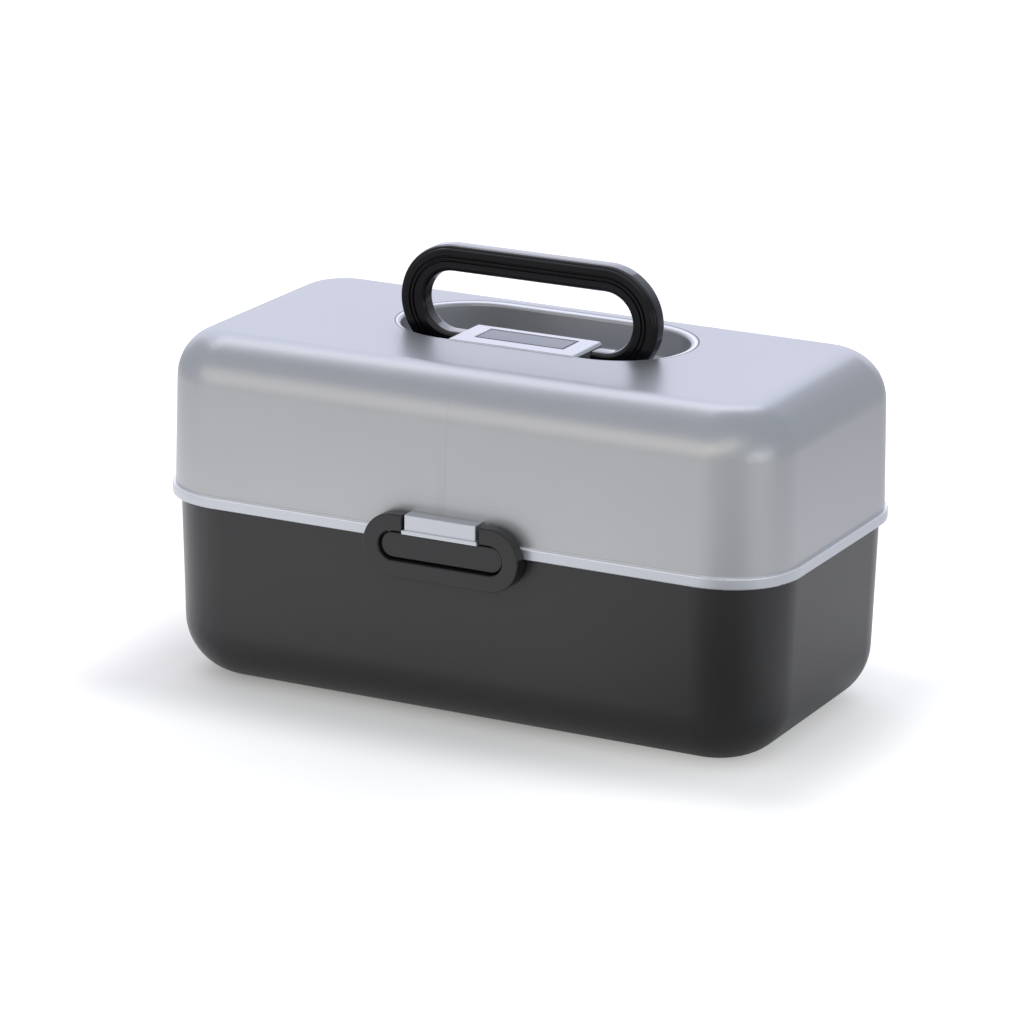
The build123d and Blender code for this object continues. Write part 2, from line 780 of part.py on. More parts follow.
lower_pivots = [arm_pivot(front_pivot_y, 1), arm_pivot(rear_pivot_y, 1)]
upper_pivots = [arm_pivot(front_pivot_y, 2), arm_pivot(rear_pivot_y, 2)]
save(build_tray(lower_tray_z, 3, [], lower_pivots), "tray_lower")
save(build_tray(upper_tray_z, 4, [rib_row_share], [*upper_pivots, tray_pin]), "tray_upper")


# ---------------------------------------------------------------- arms, links and rivets
def build_arm(base_y, start_x):
    """A flat arm with its three pivot holes, leaning at its rest angle."""
    with BuildPart() as arm:
        with BuildSketch(side_plane(start_x)):
            with Locations(arm_pivot(base_y, 1)):
                SlotCenterToCenter(2 * arm_step, arm_width, rotation=arm_rest_angle)
            with Locations(*[arm_pivot(base_y, step) for step in (0, 1, 2)]):
                Circle(rivet_r + running_gap, mode=Mode.SUBTRACT)
        extrude(amount=arm_t)
    return arm


for name, start_x in (("left", -arm_x - arm_t), ("right", arm_x)):
    save(build_arm(front_pivot_y, start_x), f"front_arm_{name}")
    save(build_arm(rear_pivot_y, start_x), f"rear_arm_{name}")

link_angle = degrees(atan2(tray_pin[1] - lid_pin[1], tray_pin[0] - lid_pin[0]))
link_length = hypot(tray_pin[1] - lid_pin[1], tray_pin[0] - lid_pin[0])


def along_link(distance):
    """The (y, z) point this far from the lid's pin towards the tray's pin."""
    turn = radians(link_angle)
    return (lid_pin[0] + distance * cos(turn), lid_pin[1] + distance * sin(turn))


for name, start_x in (("left", -link_x - link_t), ("right", link_x)):
    with BuildPart() as lid_link:
        with BuildSketch(side_plane(start_x)):
            with Locations(along_link(link_length / 2)):
                SlotCenterToCenter(link_length, link_width, rotation=link_angle)
            with Locations(lid_pin):
                Circle(rivet_r + running_gap, mode=Mode.SUBTRACT)
            with Locations(along_link(link_length - link_slot_travel / 2)):
                SlotCenterToCenter(
                    link_slot_travel,
                    2 * (rivet_r + link_slot_gap),
                    rotation=link_angle,
                    mode=Mode.SUBTRACT,
                )
        extrude(amount=link_t)
    save(lid_link, f"lid_link_{name}")

arm_head_x = arm_x - rivet_gap - rivet_head_t
base_rivets = pins(
    base_pivots,
    [
        (arm_head_x, arm_x - rivet_gap, rivet_head_r),
        (arm_x - rivet_gap, boss_x + boss_bite - rivet_gap, rivet_r),
    ],
)
save(base_rivets, "base_rivets")


def tray_rivets(places, outer_x):
    """Rivets through the tray's side walls, with a head inside and one outside."""
    inside = tray_half_width - tray_wall
    return pins(
        places,
        [
            (inside - rivet_head_t, inside, rivet_head_r),
            (inside, outer_x, rivet_r),
            (outer_x, outer_x + rivet_head_t, rivet_head_r),
        ],
    )


save(tray_rivets(lower_pivots, arm_x + arm_t + rivet_gap), "lower_tray_rivets")
save(tray_rivets(upper_pivots, arm_x + arm_t + rivet_gap), "upper_tray_rivets")
slot_head_x = link_x + link_t + rivet_gap
link_slot_pins = pins(
    [tray_pin],
    [
        (tray_half_width - tray_wall, slot_head_x, rivet_r),
        (slot_head_x, slot_head_x + rivet_head_t, rivet_head_r),
    ],
)
save(link_slot_pins, "link_slot_pins")
link_rivets = pins(
    [lid_pin],
    [
        (link_x - rivet_gap - rivet_head_t, link_x - rivet_gap, rivet_head_r),
        (link_x - rivet_gap, link_boss_x + boss_bite - rivet_gap, rivet_r),
    ],
)
save(link_rivets, "link_rivets")

print("arm step", round(arm_step, 3), "lean", round(arm_lean, 3), "rise", round(arm_rise, 3))
for label, base_y in (("front", front_pivot_y), ("rear", rear_pivot_y)):
    print(label, "arm pivots", [tuple(round(v, 3) for v in arm_pivot(base_y, s)) for s in (0, 1, 2)])
print("hinge", round(hinge_y, 3), round(hinge_z, 3), "handle pivot", handle_y, round(pivot_z, 3))
print("lid pin", lid_pin, "tray pin", tray_pin, "link", round(link_length, 3), round(link_angle, 2))
print("button springs", round(spring_length, 3), "pressed", round(spring_length - button_travel, 3))
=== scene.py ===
"""Looks of the makeup storage case: its finishes, its fine pieces, the studio and the camera."""

import json
import math

import bmesh
import bpy
from mathutils import Matrix, Vector
from mathutils.geometry import tessellate_polygon
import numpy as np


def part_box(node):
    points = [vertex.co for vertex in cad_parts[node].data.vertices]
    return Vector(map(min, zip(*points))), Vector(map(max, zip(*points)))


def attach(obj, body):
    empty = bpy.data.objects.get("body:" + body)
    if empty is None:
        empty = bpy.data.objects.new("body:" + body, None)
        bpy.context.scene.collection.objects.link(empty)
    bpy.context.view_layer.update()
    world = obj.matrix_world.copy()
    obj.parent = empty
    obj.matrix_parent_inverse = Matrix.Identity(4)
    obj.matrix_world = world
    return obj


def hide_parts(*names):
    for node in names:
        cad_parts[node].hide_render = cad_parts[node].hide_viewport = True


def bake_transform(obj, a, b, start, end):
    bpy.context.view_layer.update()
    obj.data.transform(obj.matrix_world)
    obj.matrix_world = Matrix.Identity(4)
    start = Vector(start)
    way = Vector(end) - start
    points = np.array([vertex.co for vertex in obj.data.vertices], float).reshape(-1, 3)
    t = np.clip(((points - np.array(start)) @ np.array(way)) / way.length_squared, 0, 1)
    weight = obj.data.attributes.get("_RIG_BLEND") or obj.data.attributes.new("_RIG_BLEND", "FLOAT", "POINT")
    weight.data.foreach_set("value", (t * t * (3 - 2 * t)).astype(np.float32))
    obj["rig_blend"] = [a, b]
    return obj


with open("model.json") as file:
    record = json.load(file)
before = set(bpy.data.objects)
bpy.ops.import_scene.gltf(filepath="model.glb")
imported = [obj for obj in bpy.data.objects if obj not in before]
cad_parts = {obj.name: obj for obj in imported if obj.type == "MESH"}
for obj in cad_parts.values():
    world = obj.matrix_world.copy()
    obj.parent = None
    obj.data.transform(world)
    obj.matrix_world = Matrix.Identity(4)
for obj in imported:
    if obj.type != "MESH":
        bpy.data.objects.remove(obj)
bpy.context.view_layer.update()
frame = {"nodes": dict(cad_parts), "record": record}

MM = 0.001
record = frame["record"]
behaviour = record["behaviour"]
body_of = {node: body for body, nodes in behaviour["bodies"].items() for node in nodes}
slot_of = {part["node"]: part["material_slot"] for part in record["subparts"]}
joint_place = {joint["name"]: joint.get("pos_m") for joint in behaviour["joints"]}


def in_mm(lengths):
    """Lengths of the frame in millimetres, without the stray last digits of their storage."""
    return [round(length / MM, 3) for length in lengths]


# ---------------------------------------------------------------- sizes, in millimetres
# the handle: its box and its joint give its height, thickness and bar, and the rest is as in CAD
_, HANDLE_PIVOT_Y, HANDLE_PIVOT_Z = in_mm(joint_place["handle_fold"])
(_, handle_front, handle_bottom), (_, handle_rear, handle_top) = map(in_mm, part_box("handle"))
HANDLE_HALF = 68.7
HANDLE_HEIGHT = handle_top - handle_bottom
HANDLE_BAND = 2 * (HANDLE_PIVOT_Z - handle_bottom)
HANDLE_THICK = handle_rear - handle_front
HANDLE_EDGE_R = 2.6
JOURNAL_R = 5.2
JOURNAL_HALF = 34.6

# the grooves round both faces of the handle, by how far their outer sides lie from the bar's
# outer edge, and the fine notch in its outer corners
GROOVE_INSETS = (5.0, 7.0)
GROOVE_WIDTH = 1.25
GROOVE_DEPTH = 0.85
GROOVE_PROFILE = ((0.0, 0.0), (0.12, 0.6), (0.35, 1.0), (0.65, 1.0), (0.88, 0.6), (1.0, 0.0))
NOTCH_TURN = 1.15
NOTCH_HALF_TURN = 0.22
NOTCH_DEPTH = 0.4

# the fasteners
SHANK_R = 2.0
SHANK_CHAMFER = 0.4
RIVET_HEAD_T = 0.9
RIVET_RIM_SHARE = 0.3
SCREW_R = 1.5
SCREW_HEAD_T = 2.0
SCREW_TIP_STEP = 0.5
SCREW_TIP_LENGTH = 1.2
PAN_HEAD = ((1.0, 0.0), (1.0, 0.45), (0.93, 0.75), (0.8, 0.93), (0.66, 1.0))
RECESS_ARM_SHARE = 0.80
RECESS_SLOT_SHARE = 0.22
RECESS_FLOOR_SHARE = 0.72
RECESS_DEPTH = 1.2

# the joining of CAD triangles and the rounding of their edges
JOIN_WITHIN = 0.002
FLAT_DEGREES = 0.3
HARD_EDGE_DEGREES = 34.0
HANDLE_HARD_EDGE_DEGREES = 42.0
WIDE_EDGE = 0.5
BIG_SHELLS = ("base_tub", "lid_shell", "handle_well", "button_clips", "button_springs")

# the moulding marks on the lid's front, and the painted shade beside the weld line
LID_FRONT_Y = (-70.0, -66.0)
WELD_LINE_X = -2.0
WELD_LINE_Z = (109.0, 164.0)
WELD_LINE_HALF = 0.35
WELD_SHADOW_X = (-7.0, -2.2)
WELD_SHADOW_Z = (108.0, 150.0)
INSERT_X = (-25.5, 26.0)
INSERT_TOP_Z = 114.5
INSERT_LINE_HALF = 0.3

# the lid's smooth rim band and latch tab, with a painted sheen, and the painted highlight on the
# ledge over the rim
RIM_TOP_Z = (97.0, 97.6)
TAB_FACE_Y = (-87.0, -86.4)
LEDGE_HIGHLIGHT_Z = 97.2
LEDGE_HIGHLIGHT_HALF = 0.7

# slot-shaped lines round the handle well, painted shade in its seam and a painted highlight on its
# upper edge: half of the straight part, middle y, end radius
WELL_GAP_SHADE = (37.7, 16.6, 39.6)
WELL_GAP_SHADE_HALF = 0.75
WELL_LIP_HIGHLIGHT = (38.4, 15.4, 38.0)
WELL_LIP_HIGHLIGHT_HALF = 1.5
WELL_TOP_Z = (170.0, 171.5)

# the moulding lines on the base's two sides, as places in y and half widths
BASE_SIDE_X = (140.0, 146.0)
SIDE_LINES = ((-12.0, 0.5), (-8.5, 0.35))
SIDE_LINES_Z = (20.0, 60.0)

# the plate's etched face, inside a border of painted shade
PLATE_SHADE_BORDER = (0.7, 1.15)
plate_low, plate_high = map(in_mm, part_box("name_plate"))
PLATE_FACE_X, PLATE_FACE_Y = (
    (low + border, high - border) for low, high, border in zip(plate_low, plate_high, PLATE_SHADE_BORDER)
)


# ---------------------------------------------------------------- shader expressions
class Value:
    """A socket of a node tree. Python's operators on it add the Math nodes."""

    def __init__(self, shading, socket):
        self.shading = shading
        self.socket = socket

    def math(self, operation, *terms):
        return self.shading.add("ShaderNodeMath", {"operation": operation}, dict(enumerate(terms)))

    def __add__(self, other):
        return self.math("ADD", self, other)

    def __radd__(self, other):
        return self.math("ADD", other, self)

    def __sub__(self, other):
        return self.math("SUBTRACT", self, other)

    def __rsub__(self, other):
        return self.math("SUBTRACT", other, self)

    def __mul__(self, other):
        return self.math("MULTIPLY", self, other)

    def __rmul__(self, other):
        return self.math("MULTIPLY", other, self)

    def __pow__(self, other):
        return self.math("POWER", self, other)

    def __abs__(self):
        return self.math("ABSOLUTE", self)

    def at_least(self, low):
        return self.math("MAXIMUM", self, low)

    def over(self, low, high):
        """0 below low, 1 above high and a soft step between them."""
        settings = {"interpolation_type": "SMOOTHSTEP"}
        sockets = {"Value": self, "From Min": low, "From Max": high}
        return self.shading.add("ShaderNodeMapRange", settings, sockets)

    def near(self, place, half_width):
        """1 at a place, falling softly to 0 at half_width from it."""
        return 1 - abs(self - place).over(0.0, half_width)

    def between(self, low, high, soft):
        """1 from low to high, with a soft step that reaches soft to each side of both."""
        return self.over(low - soft, low + soft) * (1 - self.over(high - soft, high + soft))


class Shading:
    """A shader's node tree, in which one method makes the nodes."""

    # the colour sockets of a Mix node, which has sockets of the same names for other data
    MIX_FIRST, MIX_SECOND, MIX_RESULT = 6, 7, 2

    def __init__(self, tree):
        self.tree = tree

    def feed(self, socket, value):
        if isinstance(value, Value):
            self.tree.links.new(value.socket, socket)
        else:
            socket.default_value = value

    def add(self, kind, settings, sockets, output=0):
        """A node of a kind: its settings are made first, then its sockets are filled."""
        node = self.tree.nodes.new(kind)
        for name, value in settings.items():
            setattr(node, name, value)
        for name, value in sockets.items():
            self.feed(node.inputs[name], value)
        return Value(self, node.outputs[output])

    def parts(self, vector):
        """The x, y and z of a vector."""
        x = self.add("ShaderNodeSeparateXYZ", {}, {0: vector})
        return [Value(self, output) for output in x.socket.node.outputs]

    def mix(self, factor, first, second):
        """One colour where factor is 0 and another where it is 1."""
        first, second = (c if isinstance(c, Value) else (*c, 1.0) for c in (first, second))
        sockets = {"Factor": factor, self.MIX_FIRST: first, self.MIX_SECOND: second}
        return self.add("ShaderNodeMix", {"data_type": "RGBA"}, sockets, output=self.MIX_RESULT)


class Finish(Shading):
    """A material with a Principled shader, on Object coordinates in millimetres."""

    def __init__(self, name, **constants):
        self.material = bpy.data.materials.new(name)
        self.material.use_nodes = True
        super().__init__(self.material.node_tree)
        self.shader = self.tree.nodes["Principled BSDF"]
        self.set(**constants)
        metres = self.add("ShaderNodeTexCoord", {}, {}, output="Object")
        scale = {0: metres, "Scale": 1 / MM}
        self.place = self.add("ShaderNodeVectorMath", {"operation": "SCALE"}, scale)

    def set(self, **inputs):
        """Fills the shader's own sockets; an underscore in a name stands for a space."""
        for name, value in inputs.items():
            self.feed(self.shader.inputs[name.replace("_", " ")], value)

    def axes(self):
        """The x, y and z of the surface point, in millimetres."""
        return self.parts(self.place)

    def facing(self):
        """The x, y and z of the surface normal, in the part's frame."""
        return self.parts(self.add("ShaderNodeTexCoord", {}, {}, output="Normal"))

    def noise(self, grain, stretch=(1, 1, 1), detail=3.0, rough=0.5):
        """Noise from 0 to 1 with a grain size in millimetres, drawn out along each axis."""
        scale = {0: self.place, 1: tuple(1 / (grain * s) for s in stretch)}
        spread = self.add("ShaderNodeVectorMath", {"operation": "MULTIPLY"}, scale)
        sockets = {"Vector": spread, "Scale": 1.0, "Detail": detail, "Roughness": rough}
        return self.add("ShaderNodeTexNoise", {"noise_dimensions": "3D"}, sockets)

    def specks(self, pitch, size):
        """Small round marks, size across, about one in each pitch."""
        sockets = {"Vector": self.place, "Scale": 1 / pitch, "Randomness": 1.0}
        distance = self.add("ShaderNodeTexVoronoi", {"feature": "F1"}, sockets, output="Distance")
        return 1 - distance.over(size / pitch * 0.4, size / pitch)

    def bump(self, height, depth):
        """Feeds the normal from a height between 0 and 1 that stands for depth in millimetres."""
        sockets = {"Height": height, "Distance": depth * MM, "Strength": 1.0}
        self.set(Normal=self.add("ShaderNodeBump", {}, sockets))


def length(x, y):
    """The length of a vector whose two parts are Values."""
    return (x * x + y * y) ** 0.5


PALEST = 0.95


def shade(colour, factor):
    """A colour made darker or paler, but never paler than white plastic."""
    return tuple(min(c * factor, PALEST) for c in colour)


# ---------------------------------------------------------------- finishes
# the tint of the painted sheen on the lid's rim band and tab
PAINTED_SHEEN_TINT = (1.26, 1.29, 1.36)
DUST = (0.35, 0.35, 0.36)


def lid_front_marks(x, y, z):
    """Masks of the lid's weld line, of the painted shade beside it and of the mould insert's outline."""
    front = 1 - y.over(*LID_FRONT_Y)
    weld = x.near(WELD_LINE_X, WELD_LINE_HALF) * z.between(*WELD_LINE_Z, soft=3.0) * front
    shadow = x.between(*WELD_SHADOW_X, soft=1.2) * (1 - z.over(*WELD_SHADOW_Z)) * front
    left, right = INSERT_X
    sides = x.near(left, INSERT_LINE_HALF) + x.near(right, INSERT_LINE_HALF)
    sides = sides * (1 - z.over(INSERT_TOP_Z - 0.2, INSERT_TOP_Z + 0.2))
    top = z.near(INSERT_TOP_Z, INSERT_LINE_HALF) * x.between(left, right, soft=0.2)
    return weld, shadow, (sides + top) * front


def slot_line(x, y, slot, half_width):
    """A mask of a slot-shaped line, seen from above."""
    straight, middle_y, end_r = slot
    return length((abs(x) - straight).at_least(0), y - middle_y).near(end_r, half_width)


def silver_plastic(name, colour, marks):
    """Moulded plastic with a fine metal pigment, painted shade in the seam round the handle well
    and a painted highlight along the well's upper edge.

    With marks it also shows the lid's moulding marks, a painted shade beside the weld line, its
    smoother rim and tab with a painted sheen, and a painted highlight on the ledge over the rim."""
    finish = Finish(name, Metallic=0.72, IOR=1.5)
    x, y, z = finish.axes()
    flow = finish.noise(grain=70, stretch=(1.6, 1.6, 0.7), detail=2)
    cloud = finish.noise(grain=16, detail=3)
    flake = finish.noise(grain=0.45, detail=2, rough=0.7)
    peel = finish.noise(grain=2.6, detail=2)
    tone = flow * 0.05 + cloud * 0.03 + flake * 0.05
    height = peel * 0.5 + flake * 0.5
    dull = (0.335 if marks else 0.17) + cloud * 0.03 + flake * 0.03
    if marks:
        weld, shadow, insert = lid_front_marks(x, y, z)
        # the rim band and tab are smoother, and their paler, bluer colour is a painted sheen
        above_rim = z.over(*RIM_TOP_Z)
        polished_with_painted_sheen = (1 - above_rim) + (1 - y.over(*TAB_FACE_Y)) * above_rim
        # the weld line and the insert's outline are moulding marks; the darkening beside the weld is painted
        # shade
        tone = tone - weld * 0.10 - shadow * 0.035 - insert * 0.07
        height = height - weld * 0.5 - insert * 0.6
        dull = dull - polished_with_painted_sheen * 0.02
    base = finish.mix(tone.over(-0.12, 0.17), shade(colour, 0.86), shade(colour, 1.08))
    raised = z.over(*WELL_TOP_Z)
    # a painted highlight along the well's upper edge
    lip_highlight = slot_line(x, y, WELL_LIP_HIGHLIGHT, WELL_LIP_HIGHLIGHT_HALF) * raised
    # painted shade in the seam round the well
    gap_shade = slot_line(x, y, WELL_GAP_SHADE, WELL_GAP_SHADE_HALF) * raised
    base = finish.mix(lip_highlight, base, shade(colour, 1.75))
    base = finish.mix(gap_shade * 0.85, base, shade(colour, 0.1))
    if marks:
        # the painted sheen on the rim band and tab
        bright = tuple(c * tint for c, tint in zip(colour, PAINTED_SHEEN_TINT))
        base = finish.mix(polished_with_painted_sheen * 0.8, base, bright)
        # a painted highlight on the ledge over the rim
        base = finish.mix(z.near(LEDGE_HIGHLIGHT_Z, LEDGE_HIGHLIGHT_HALF), base, shade(colour, 1.9))
    finish.set(Base_Color=base, Roughness=dull)
    finish.bump(height, depth=0.012)
    return finish.material


def charcoal_plastic(name, colour, rough, marks=False):
    """Moulded dark plastic: a fine even grain, faint flow marks and stray specks of dust.

    With marks it also shows the moulding lines on the base's sides."""
    finish = Finish(name, IOR=1.5)
    flow = finish.noise(grain=60, stretch=(1.5, 1.5, 0.8), detail=2)
    grain = finish.noise(grain=0.5, detail=3, rough=0.6)
    smear = finish.noise(grain=9, stretch=(1, 1, 3), detail=4)
    dust = finish.specks(pitch=23, size=0.55) * smear.over(0.46, 0.60)
    tone = flow * 0.5 + grain * 0.3
    height = grain * 0.6 + smear * 0.2
    dull = rough - 0.03 + smear * 0.05 + grain * 0.03
    if marks:
        x, y, z = finish.axes()
        wide, fine = (y.near(place, half_width) for place, half_width in SIDE_LINES)
        side = abs(x).over(*BASE_SIDE_X)
        lines = (wide + fine) * z.between(*SIDE_LINES_Z, soft=6.0) * side
        tone = tone + lines * 0.5
        height = height + lines * 0.8
    base = finish.mix(tone.over(0.1, 1.1), shade(colour, 0.82), shade(colour, 1.25))
    base = finish.mix(dust * 0.5, base, DUST)
    finish.set(Base_Color=base, Roughness=dull + dust * 0.2)
    finish.bump(height, depth=0.010)
    return finish.material


def handle_plastic(name, colour):
    """Black plastic with fine scratches, under a gloss that shows where it faces upwards."""
    finish = Finish(name, IOR=1.5, Specular_IOR_Level=0.26, Coat_IOR=1.8, Coat_Roughness=0.06)
    upward = finish.facing()[2]
    rub = finish.noise(grain=12, detail=4)
    grain = finish.noise(grain=0.6, detail=2)
    scratch = finish.noise(grain=1.1, stretch=(9, 1, 1), detail=3, rough=0.7).over(0.66, 0.74)
    base = finish.mix(rub, shade(colour, 0.8), shade(colour, 1.3))
    finish.set(Base_Color=base, Roughness=0.13 + rub * 0.08 + scratch * 0.12)
    finish.set(Coat_Weight=upward.over(0.3, 0.85))
    finish.bump(grain * 0.7 + scratch * 0.3, depth=0.006)
    return finish.material


def etched_plate(name, colour):
    """A thin metal plate with a border of painted shade, brushed along its length and finely etched."""
    finish = Finish(name, Metallic=0.9, IOR=1.45)
    x, y, _ = finish.axes()
    brush = finish.noise(grain=0.35, stretch=(28, 1, 1), detail=3, rough=0.65)
    etch = finish.noise(grain=0.5, detail=2, rough=0.6)
    relief = brush * 0.6 + etch * 0.4
    face = x.between(*PLATE_FACE_X, soft=0.2) * y.between(*PLATE_FACE_Y, soft=0.3)
    base = finish.mix(relief, shade(colour, 0.7), shade(colour, 1.15))
    # painted shade round the plate's face
    base = finish.mix(face, shade(colour, 0.06), base)
    finish.set(Base_Color=base, Roughness=0.38 + brush * 0.16)
    finish.bump(relief, depth=0.02)
    return finish.material


def zinc_steel(name, colour, rough):
    """Zinc-plated steel with a fine drawn grain and a slight cloudiness."""
    finish = Finish(name, Metallic=1.0)
    cloud = finish.noise(grain=3.0, detail=3)
    drawn = finish.noise(grain=0.3, stretch=(1, 6, 6), detail=3, rough=0.6)
    base = finish.mix(cloud, shade(colour, 0.80), shade(colour, 1.06))
    finish.set(Base_Color=base, Roughness=rough + drawn * 0.14)
    finish.bump(drawn, depth=0.006)
    return finish.material


finishes = {
    "silver_shell": silver_plastic("silver_shell_plastic", (0.478, 0.484, 0.496), True),
    "silver_trim": silver_plastic("silver_trim_plastic", (0.57, 0.58, 0.605), False),
    "black_shell": charcoal_plastic("charcoal_shell_plastic", (0.016, 0.016, 0.0165), 0.30, True),
    "latch_black": charcoal_plastic("latch_plastic", (0.016, 0.016, 0.017), 0.34),
    "handle_black": handle_plastic("handle_plastic", (0.003, 0.003, 0.004)),
    "tray_plastic": charcoal_plastic("tray_plastic", (0.030, 0.030, 0.032), 0.46),
    "plate_grey": etched_plate("etched_plate", (0.30, 0.31, 0.33)),
    "steel": zinc_steel("zinc_steel", (0.55, 0.55, 0.56), 0.26),
    "spring_steel": zinc_steel("spring_wire", (0.45, 0.45, 0.46), 0.22),
}


# ---------------------------------------------------------------- pieces
def new_piece(name, mesh, node, hard_edge=HARD_EDGE_DEGREES):
    """A finished mesh as an object that stands for a CAD node and rides on its body.

    The latch's springs ride between the base and the button, so that a press shortens them."""
    mesh.materials.clear()
    mesh.materials.append(finishes[slot_of[node]])
    mesh.shade_smooth()
    mesh.set_sharp_from_angle(angle=math.radians(hard_edge))
    piece = bpy.data.objects.new(name, mesh)
    bpy.context.scene.collection.objects.link(piece)
    if node == "button_springs":
        front, rear = (corner[1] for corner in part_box(node))
        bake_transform(piece, "base", "latch_button", start=(0, rear, 0), end=(0, front, 0))
    else:
        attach(piece, body_of[node])
    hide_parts(node)
    return piece


def welded_mesh(node):
    """A copy of a CAD node's triangles, joined where they meet and with flat faces made whole."""
    mesh = frame["nodes"][node].data.copy()
    for layer in [a for a in mesh.attributes if a.name == "custom_normal"]:
        mesh.attributes.remove(layer)
    joined = bmesh.new()
    joined.from_mesh(mesh)
    bmesh.ops.remove_doubles(joined, verts=joined.verts, dist=JOIN_WITHIN * MM)
    bmesh.ops.dissolve_limit(
        joined, angle_limit=math.radians(FLAT_DEGREES), verts=joined.verts, edges=joined.edges
    )
    joined.to_mesh(mesh)
    joined.free()
    return mesh


def softened(node, edge):
    """A CAD node's shape with its hard edges rounded by a small moulded radius.

    The rounding of the big shells is held back where their faces are narrower than it."""
    piece = new_piece(f"{node}_skin", welded_mesh(node), node)
    rounding = piece.modifiers.new("edge_rounding", "BEVEL")
    rounding.width = edge * MM
    rounding.segments = 3 if edge > WIDE_EDGE else 2
    rounding.limit_method = "ANGLE"
    rounding.angle_limit = math.radians(HARD_EDGE_DEGREES)
    rounding.use_clamp_overlap = node in BIG_SHELLS
    even = piece.modifiers.new("even_shading", "WEIGHTED_NORMAL")
    even.keep_sharp = True
    even.weight = 90


edge_radii = {
    "base_tub": 0.3,
    "lid_shell": 0.35,
    "handle_well": 0.35,
    "handle_clamp": 0.45,
    "name_plate": 0.12,
    "latch_bezel": 0.6,
    "latch_button": 0.35,
    "button_clips": 0.15,
    "tray_lower": 0.45,
    "tray_upper": 0.45,
    "front_arm_left": 0.25,
    "front_arm_right": 0.25,
    "rear_arm_left": 0.25,
    "rear_arm_right": 0.25,
    "lid_link_left": 0.25,
    "lid_link_right": 0.25,
    "hinge_pin_left": 0.25,
    "hinge_pin_right": 0.25,
    "button_springs": 0.0,
}
for node, edge in edge_radii.items():
    softened(node, edge)


# ---------------------------------------------------------------- the handle
def handle_section(corner_steps=12):
    """The bar's outline: outward along the loop's plane and along its thickness, in order.

    Both faces are grooved, and the two outer corners carry a fine notch."""
    half_band, half_thick, r = HANDLE_BAND / 2, HANDLE_THICK / 2, HANDLE_EDGE_R
    flat, corner = half_band - r, half_thick - r
    face = [(flat, 0.0)]
    for inset in GROOVE_INSETS:
        outer_side = half_band - inset
        face += [(outer_side - GROOVE_WIDTH * t, GROOVE_DEPTH * d) for t, d in GROOVE_PROFILE]
    face.append((-flat, 0.0))
    front = [(a, depth - half_thick) for a, depth in face]

    turns = [math.pi / 2 * i / corner_steps for i in range(1, corner_steps)]
    inner = [(-flat - r * math.sin(t), -corner - r * math.cos(t)) for t in turns]
    inner.append((-half_band, -corner))
    outer = [(half_band, -corner)]
    for t in turns:
        cut = NOTCH_DEPTH * max(0.0, 1 - abs(t - NOTCH_TURN) / NOTCH_HALF_TURN)
        outer.append((flat + (r - cut) * math.cos(t), -corner - (r - cut) * math.sin(t)))
    half = front + inner
    return half + [(a, -b) for a, b in reversed(outer + half)] + outer


def handle_stations(steps=36):
    """Where the section stands round the loop: the middle of its arc and its angle."""
    straight = HANDLE_HALF - HANDLE_HEIGHT / 2
    down, half_turn = -math.pi / 2, math.pi
    left = [(-straight, down - half_turn * i / steps) for i in range(steps + 1)]
    right = [(straight, -down - half_turn * i / steps) for i in range(steps + 1)]
    return [(-JOURNAL_HALF, down), *left, *right, (JOURNAL_HALF, down)]


def make_handle():
    """The grooved bar swept round its loop, and the journal that closes it at the bottom."""
    radius = (HANDLE_HEIGHT - HANDLE_BAND) / 2
    section = handle_section()
    bar = bmesh.new()
    rings = []
    for middle_x, angle in handle_stations():
        ring = []
        for outward, along in section:
            reach = radius + outward
            place = (
                middle_x + reach * math.cos(angle),
                HANDLE_PIVOT_Y + along,
                HANDLE_PIVOT_Z + radius + reach * math.sin(angle),
            )
            ring.append(bar.verts.new(Vector(place) * MM))
        rings.append(ring)
    for near, far in zip(rings, rings[1:]):
        for i in range(len(section)):
            bar.faces.new((near[i - 1], near[i], far[i], far[i - 1]))
    bar.faces.new(rings[0])
    bar.faces.new(rings[-1])
    pivot = Matrix.Translation(Vector((0, HANDLE_PIVOT_Y, HANDLE_PIVOT_Z)) * MM)
    bmesh.ops.create_cone(
        bar,
        cap_ends=True,
        segments=48,
        radius1=JOURNAL_R * MM,
        radius2=JOURNAL_R * MM,
        depth=2 * (JOURNAL_HALF + HANDLE_EDGE_R) * MM,
        matrix=pivot @ Matrix.Rotation(math.pi / 2, 4, "Y"),
    )
    bmesh.ops.recalc_face_normals(bar, faces=bar.faces)
    mesh = bpy.data.meshes.new("handle_swept")
    bar.to_mesh(mesh)
    bar.free()
    new_piece("handle_swept", mesh, "handle", hard_edge=HANDLE_HARD_EDGE_DEGREES)


make_handle()


# ---------------------------------------------------------------- rivets and screws
def boxes_of(node):
    """The low and high corners of each separate solid of a CAD node, in millimetres."""
    solid = bmesh.new()
    solid.from_mesh(frame["nodes"][node].data)
    bmesh.ops.remove_doubles(solid, verts=solid.verts, dist=JOIN_WITHIN * MM)
    met, boxes = set(), []
    for start in solid.verts:
        if start in met:
            continue
        met.add(start)
        frontier, island = [start], []
        while frontier:
            vert = frontier.pop()
            island.append(vert.co / MM)
            for edge in vert.link_edges:
                other = edge.other_vert(vert)
                if other not in met:
                    met.add(other)
                    frontier.append(other)
        boxes.append([Vector(f(v[i] for v in island) for i in range(3)) for f in (min, max)])
    solid.free()
    return boxes


